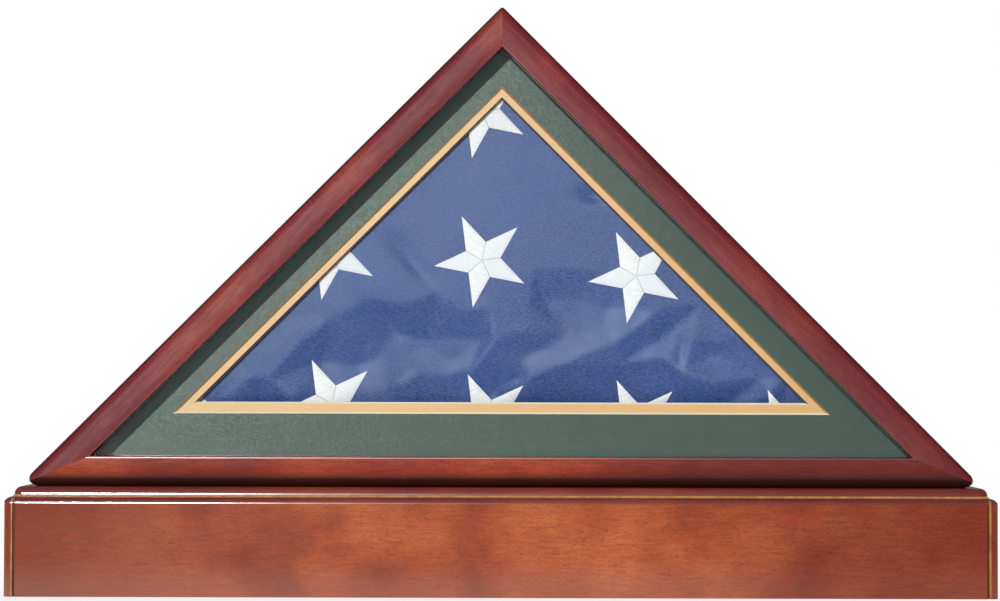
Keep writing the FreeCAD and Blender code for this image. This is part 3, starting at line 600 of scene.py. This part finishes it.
def flagBundle():
    mesh = nodes["folded_flag"].data.copy()
    bundle = addObject("folded_flag_cloth", mesh)
    shell = bmesh.new()
    shell.from_mesh(mesh)
    bmesh.ops.remove_doubles(shell, verts=shell.verts, dist=1e-6)
    shell.to_mesh(mesh)
    shell.free()
    remesh = bundle.modifiers.new("remesh", "REMESH")
    remesh.mode = "VOXEL"
    remesh.voxel_size = flagLook["voxel"]
    smooth = bundle.modifiers.new("smooth", "SMOOTH")
    smooth.factor = flagLook["smoothing"]
    smooth.iterations = flagLook["smoothRounds"]
    baked = bakeModifiers(bundle)
    noise.seed_set(flagLook["warpSeed"])
    surface = facetSurface()
    low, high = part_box("folded_flag")
    middle = (low.y + high.y) / 2
    half = (high.y - low.y) / 2
    for vertex in baked.vertices:
        x, z = vertex.co.x * 1000, vertex.co.z * 1000
        level = (vertex.co.y - middle) / half      # -1 at the front, 1 at the back
        share = min(max(abs(level) * 2 - 1, 0), 1)
        if level < 0:
            vertex.co.y += (hollowDepth(surface, x, z) / 1000 + flagLook["recess"]) * share
        else:
            vertex.co.y -= foldStep(x, z) / 1000 * share
    return bundle


def wovenBlue():
    material, tree, shader = newMaterial("wovenBlue")
    point = objectPoint(tree)
    turn = math.radians(flagLook["weaveTurn"])
    across = turn + math.radians(90)
    warp = stretchedNoise(tree, flagLook["weaveStretch"], 2.0, 0.6, turn=turn, source=point)
    weft = stretchedNoise(tree, flagLook["weaveStretch"], 2.0, 0.5, turn=across, source=point)
    weave = calc(tree, "ADD", calc(tree, "MULTIPLY", warp, 0.5), calc(tree, "MULTIPLY", weft, 0.5))
    faded = stretchedNoise(tree, flagLook["fadedStretch"], move=(1, 1, 1), source=point)
    tone = flagLook["blue"]
    for pattern, share in ((weave, "weaveShare"), (faded, "fadedShare")):
        tone = mixColour(tree, ease(tree, pattern, *flagLook[share]), tone, flagLook["blueLight"])
    gloss, spread = flagLook["gloss"], flagLook["glossSpread"]
    feed(tree, shader.inputs["Base Color"], tone)
    feed(tree, shader.inputs["Roughness"], ease(tree, weave, 0.35, 0.65, gloss - spread, gloss + spread))
    feed(tree, shader.inputs["Normal"], relief(tree, weave, flagLook["weaveRelief"]))
    shader.inputs["Specular IOR Level"].default_value = flagLook["shine"]
    shader.inputs["Specular Tint"].default_value = flagLook["shineTint"]
    return material


# one embroidered star: five kite-shaped fields of satin stitch, meeting in the middle
starLook = {
    "radius": 0.0336,
    "waist": 0.382,           # inner corners, as a share of the radius
    "pad": 0.0010,            # height of the stitching over the cloth
    "edgePad": 0.25,          # share of that height left at the edges
    "roundness": 0.3,
    "fineness": 9,            # squares along one side of a kite
    "turn": -25.0,
    "white": (0.95, 0.95, 0.955),
    # the thread's uneven grey, also the tone of the painted sheen per arm and painted shade between threads
    "shade": (0.76, 0.78, 0.85),
    # painted shade in the seams between the stitched fields
    "seamShade": (0.30, 0.31, 0.38),
    "seamShadeWidth": (0.004, 0.030, 0.7, 0.0),   # in shares of a kite's side, and of the painted shade's colour
    "thread": 0.0009,
    "unevenStretch": (120, 700, 1),
    "unevenShare": (0.42, 0.66, 0.0, 0.8),
    "wander": 3.0,            # how far the threads leave their rows
    # painted shade between the thread rows
    "ribShadeShare": (-1.0, 0.2, 0.3, 0.0),
    "ribRelief": 0.00008,
    "armStep": 3.3,           # painted sheen: each arm gets its own share of shade
    "armSheenShare": 0.8,
    "gloss": 0.42,
    "sheen": 0.15,
}
frontStars = (
    (-14.5, 334.2), (-118.8, 235.2), (-13.6, 230.3), (93.6, 219.6), (-223.8, 136.4),
    (-117.8, 130.2), (-9.2, 120.4), (94.6, 116.4), (199.4, 110.0),
)
backStars = ((-105, 205), (0, 300), (8, 196), (112, 210), (-180, 128), (-60, 124), (70, 130), (190, 122))
starDistance = 0.1            # the stars are laid on the cloth from here, in front and behind
leastFacing = 0.8             # and only where it faces them this much


def starArm(shape, arm):
    threadMap = shape.loops.layers.uv["thread"]
    seamMap = shape.loops.layers.uv["seamShade"]
    armField = shape.faces.layers.float["arm"]
    count = starLook["fineness"]
    aim = math.radians(90 + 72 * arm)
    axis = Vector((math.cos(aim), math.sin(aim)))
    tip = axis * starLook["radius"]
    waist = starLook["radius"] * starLook["waist"]
    corners = [aim - math.radians(36), aim + math.radians(36)]
    first, second = (Vector((math.cos(angle), math.sin(angle))) * waist for angle in corners)
    grid = []
    for i in range(count + 1):
        for j in range(count + 1):
            s, t = i / count, j / count
            flat = first * (s * (1 - t)) + tip * (s * t) + second * ((1 - s) * t)
            crown = (16 * s * (1 - s) * t * (1 - t)) ** starLook["roundness"]
            lift = starLook["pad"] * (starLook["edgePad"] + (1 - starLook["edgePad"]) * crown)
            grid.append(shape.verts.new((flat.x, -lift, flat.y)))
    for i in range(count):
        for j in range(count):
            ring = ((i, j), (i + 1, j), (i + 1, j + 1), (i, j + 1))
            face = shape.faces.new([grid[a * (count + 1) + b] for a, b in ring])
            face[armField] = arm / 5
            for loop, (a, b) in zip(face.loops, ring):
                place = Vector((loop.vert.co.x, loop.vert.co.z))
                loop[seamMap].uv = (a / count, b / count)
                loop[threadMap].uv = (place.cross(axis), place.dot(axis))


def starShape():
    shape = bmesh.new()
    shape.loops.layers.uv.new("thread")
    shape.loops.layers.uv.new("seamShade")
    shape.faces.layers.float.new("arm")
    for arm in range(5):
        starArm(shape, arm)
    bmesh.ops.remove_doubles(shape, verts=shape.verts, dist=1e-6)
    bmesh.ops.recalc_face_normals(shape, faces=shape.faces)
    if sum(face.normal.y for face in shape.faces) > 0:
        bmesh.ops.reverse_faces(shape, faces=shape.faces)
    mesh = bpy.data.meshes.new("star_shape")
    shape.to_mesh(mesh)
    shape.free()
    return addObject("star_shape", mesh)


def satinStitch():
    material, tree, shader = newMaterial("satinStitch")
    thread = addNode(tree, "ShaderNodeUVMap", uv_map="thread").outputs[0]
    arm = addNode(tree, "ShaderNodeAttribute", attribute_name="arm").outputs["Fac"]
    along = split(tree, thread)[1]
    s, t, _ = split(tree, addNode(tree, "ShaderNodeUVMap", uv_map="seamShade").outputs[0])
    uneven = stretchedNoise(tree, starLook["unevenStretch"], 2.0, 0.5, source=thread)
    wander = calc(tree, "MULTIPLY", uneven, starLook["wander"])
    rib = calc(tree, "SINE", calc(tree, "MULTIPLY_ADD", along, 2 * math.pi / starLook["thread"], wander))
    armSheen = calc(tree, "FRACT", calc(tree, "MULTIPLY", arm, starLook["armStep"]))
    # painted sheen per arm, painted shade between the thread rows, and the thread's uneven grey
    shares = (
        calc(tree, "MULTIPLY", armSheen, starLook["armSheenShare"]),
        ease(tree, rib, *starLook["ribShadeShare"]),
        ease(tree, uneven, *starLook["unevenShare"]),
    )
    tone = starLook["white"]
    for share in shares:
        tone = mixColour(tree, share, tone, starLook["shade"])
    # painted shade along the seams between the fields
    seamShade = ease(tree, calc(tree, "MINIMUM", s, t), *starLook["seamShadeWidth"])
    feed(tree, shader.inputs["Base Color"], mixColour(tree, seamShade, tone, starLook["seamShade"]))
    feed(tree, shader.inputs["Normal"], relief(tree, rib, starLook["ribRelief"]))
    shader.inputs["Roughness"].default_value = starLook["gloss"]
    shader.inputs["Sheen Weight"].default_value = starLook["sheen"]
    return material


def starSockets(tree):
    kinds = {"Geometry": "Geometry", "Cloth": "Object", "Star": "Object"}
    kinds.update({"Turn": "Float", "Finish": "Material"})
    sockets = {}
    for name, kind in kinds.items():
        socket = tree.interface.new_socket(name=name, in_out="INPUT", socket_type="NodeSocket" + kind)
        sockets[name] = socket.identifier
    tree.interface.new_socket(name="Geometry", in_out="OUTPUT", socket_type="NodeSocketGeometry")
    return sockets


def starsOnCloth(tree):
    group = addNode(tree, "NodeGroupInput").outputs
    shape = addNode(tree, "GeometryNodeObjectInfo", {"Object": group["Star"]}).outputs["Geometry"]
    cloth = addNode(tree, "GeometryNodeObjectInfo", {"Object": group["Cloth"]}).outputs["Geometry"]
    y = split(tree, addNode(tree, "GeometryNodeInputPosition").outputs[0])[1]
    halfTurn = calc(tree, "MULTIPLY", calc(tree, "GREATER_THAN", y, 0.0), math.pi)
    turn = addNode(tree, "ShaderNodeCombineXYZ", {"Y": group["Turn"], "Z": halfTurn}).outputs[0]
    inputs = {"Points": group["Geometry"], "Instance": shape, "Rotation": turn}
    spread = addNode(tree, "GeometryNodeInstanceOnPoints", inputs).outputs[0]
    real = addNode(tree, "GeometryNodeRealizeInstances", {"Geometry": spread}).outputs[0]
    side = calc(tree, "SIGN", y)  # -1 in front, 1 behind
    lift = calc(tree, "SUBTRACT", calc(tree, "ABSOLUTE", y), starDistance)
    inwards = addNode(tree, "ShaderNodeCombineXYZ", {"Y": calc(tree, "MULTIPLY", side, -1.0)}).outputs[0]
    ray = addNode(tree, "GeometryNodeRaycast", {"Target Geometry": cloth, "Ray Direction": inwards}).outputs
    facing = calc(tree, "MULTIPLY", split(tree, ray["Hit Normal"])[1], side)
    missed = calc(tree, "LESS_THAN", calc(tree, "MULTIPLY", ray["Is Hit"], facing), leastFacing)
    inputs = {"Geometry": real, "Selection": missed}
    kept = addNode(tree, "GeometryNodeDeleteGeometry", inputs, domain="POINT").outputs[0]
    offset = addNode(tree, "ShaderNodeCombineXYZ", {"Y": calc(tree, "MULTIPLY", lift, side)}).outputs[0]
    inputs = {0: ray["Hit Position"], 1: offset}
    target = addNode(tree, "ShaderNodeVectorMath", inputs, operation="ADD").outputs[0]
    laid = addNode(tree, "GeometryNodeSetPosition", {"Geometry": kept, "Position": target}).outputs[0]
    inputs = {"Geometry": laid, "Material": group["Finish"]}
    done = addNode(tree, "GeometryNodeSetMaterial", inputs).outputs[0]
    addNode(tree, "NodeGroupOutput", {"Geometry": done})


def starField(bundle, star, finish):
    points = bpy.data.meshes.new("star_places")
    front = [(x / 1000, -starDistance, z / 1000) for x, z in frontStars]
    back = [(x / 1000, starDistance, z / 1000) for x, z in backStars]
    points.from_pydata(front + back, [], [])
    field = addObject("embroidered_stars", points)
    tree = bpy.data.node_groups.new("starsOnCloth", "GeometryNodeTree")
    sockets = starSockets(tree)
    starsOnCloth(tree)
    modifier = field.modifiers.new("starsOnCloth", "NODES")
    modifier.node_group = tree
    modifier[sockets["Cloth"]] = bundle
    modifier[sockets["Star"]] = star
    modifier[sockets["Turn"]] = math.radians(starLook["turn"])
    modifier[sockets["Finish"]] = finish
    bakeModifiers(field)
    return field


bundle = flagBundle()
bundle.data.materials.clear()
bundle.data.materials.append(wovenBlue())
starModel = starShape()
stars = starField(bundle, starModel, satinStitch())
bpy.data.objects.remove(starModel)
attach(bundle, "case")
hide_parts("folded_flag")
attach(stars, "case")
print("flag:", len(bundle.data.polygons), "faces,", len(stars.data.polygons), "in the stars")


# floor, light and camera

studio = {
    "keyAim": (-0.19, -0.96, 0.19),   # towards the lamp
    "keyDistance": 2.0,
    "keyStrength": 2.85,
    "keyWidth": 1.2,                  # degrees
    "keyColour": (1.0, 0.975, 0.94),
    "fillDistance": 2.2,
    "lampCentre": (0, 0, 0.2),        # what the lamps stand around
    "sky": (0.45, 0.49, 0.50),
    "dark": (0.15, 0.15, 0.16),
    "skyAim": (-0.50, -0.80, 0.30),
    "skySpread": (0.45, 1.0),
    "floorSize": 12.0,
    "floorLevel": -0.0004,
    "floorTone": (0.86, 0.86, 0.86, 1.0),
    "floorRoughness": 0.8,
    "floorWhite": (0.55, 1.7, 0.8, 1.0),    # distances where shadows show on it and fade, and its whiteness
    "floorGloss": (0.2, 0.8, 1.0, 0.2),     # how bright it is in a reflection, from near to far
    "floorFade": (1.5, 5.5),                # where reflections of it give way to the sky
}
fillLamps = (                 # direction towards the lamp, strength and size
    ("backFill", (0.0, 0.75, 0.66), 42.0, 1.6),
    ("leftFill", (-0.95, 0.1, 0.35), 14.0, 1.2),
    ("rightFill", (0.95, 0.1, 0.35), 10.0, 1.2),
)
photoView = {
    "place": (-0.001, -1.5, 0.144),
    "pitch": 1.18,            # degrees upwards
    "yaw": 0.15,
    "sensor": 36.0,
    "lens": 76.5,
    "shift": 0.04,
}


def seenDirectly(tree, inGloss):  # by the camera, through glass, or dimmer in a gloss
    path = addNode(tree, "ShaderNodeLightPath").outputs
    seen = calc(tree, "MAXIMUM", path["Is Camera Ray"], path["Is Transmission Ray"])
    seen = calc(tree, "MAXIMUM", seen, calc(tree, "MULTIPLY", path["Is Glossy Ray"], inGloss))
    return calc(tree, "MULTIPLY", seen, calc(tree, "LESS_THAN", path["Diffuse Depth"], 0.5))


def paleFloor():
    bpy.ops.mesh.primitive_plane_add(size=studio["floorSize"], location=(0, 0, studio["floorLevel"]))
    floor = bpy.context.object
    floor.name = "pale_floor"
    material, tree, shader = newMaterial("paleFloor")
    shader.inputs["Base Color"].default_value = studio["floorTone"]
    shader.inputs["Roughness"].default_value = studio["floorRoughness"]
    glow = addNode(tree, "ShaderNodeEmission", {"Strength": 1.0}).outputs[0]
    clear = addNode(tree, "ShaderNodeBsdfTransparent").outputs[0]
    point = objectPoint(tree)
    reach = addNode(tree, "ShaderNodeVectorMath", {0: point}, operation="LENGTH").outputs["Value"]
    white = seenDirectly(tree, ease(tree, reach, *studio["floorGloss"]))
    white = calc(tree, "MULTIPLY", white, ease(tree, reach, *studio["floorWhite"]))
    inGloss = addNode(tree, "ShaderNodeLightPath").outputs["Is Glossy Ray"]
    fade = calc(tree, "MULTIPLY", inGloss, ease(tree, reach, *studio["floorFade"]))
    surface = mixShaders(tree, fade, mixShaders(tree, white, shader.outputs[0], glow), clear)
    tree.links.new(surface, tree.nodes["Material Output"].inputs["Surface"])
    floor.data.materials.append(material)


def studioSky():
    world = bpy.data.worlds.new("studioSky")
    world.use_nodes = True
    scene.world = world
    tree = world.node_tree
    direction = addNode(tree, "ShaderNodeTexCoord").outputs["Generated"]
    inputs = {0: direction, 1: Vector(studio["skyAim"]).normalized()}
    toward = addNode(tree, "ShaderNodeVectorMath", inputs, operation="DOT_PRODUCT").outputs["Value"]
    sky = mixColour(tree, ease(tree, toward, *studio["skySpread"]), studio["dark"], studio["sky"])
    shown = mixColour(tree, seenDirectly(tree, 0.0), sky, (1.0, 1.0, 1.0))
    feed(tree, tree.nodes["Background"].inputs["Color"], shown)


def lamp(name, kind, aim, distance, strength):
    data = bpy.data.lights.new(name, kind)
    data.energy = strength
    light = addObject(name, data)
    away = Vector(aim).normalized()
    light.location = Vector(studio["lampCentre"]) + away * distance
    light.rotation_mode = "QUATERNION"
    light.rotation_quaternion = away.to_track_quat("Z", "Y")
    return light


def studioLamps():
    key = lamp("keyLamp", "SUN", studio["keyAim"], studio["keyDistance"], studio["keyStrength"])
    key.data.angle = math.radians(studio["keyWidth"])
    key.data.color = studio["keyColour"]
    for name, aim, strength, size in fillLamps:
        fill = lamp(name, "AREA", aim, studio["fillDistance"], strength)
        fill.data.shape = "SQUARE"
        fill.data.size = size
        fill.visible_glossy = False


def photoCamera():
    data = bpy.data.cameras.new("photoCamera")
    data.sensor_width = photoView["sensor"]
    data.lens = photoView["lens"]
    data.shift_y = photoView["shift"]
    camera = addObject("photoCamera", data)
    camera.location = photoView["place"]
    camera.rotation_mode = "ZYX"
    camera.rotation_euler = (math.radians(90 + photoView["pitch"]), 0.0, math.radians(photoView["yaw"]))
    scene.camera = camera


paleFloor()
studioSky()
studioLamps()
photoCamera()
scene.view_settings.view_transform = "Standard"
print("studio ready")
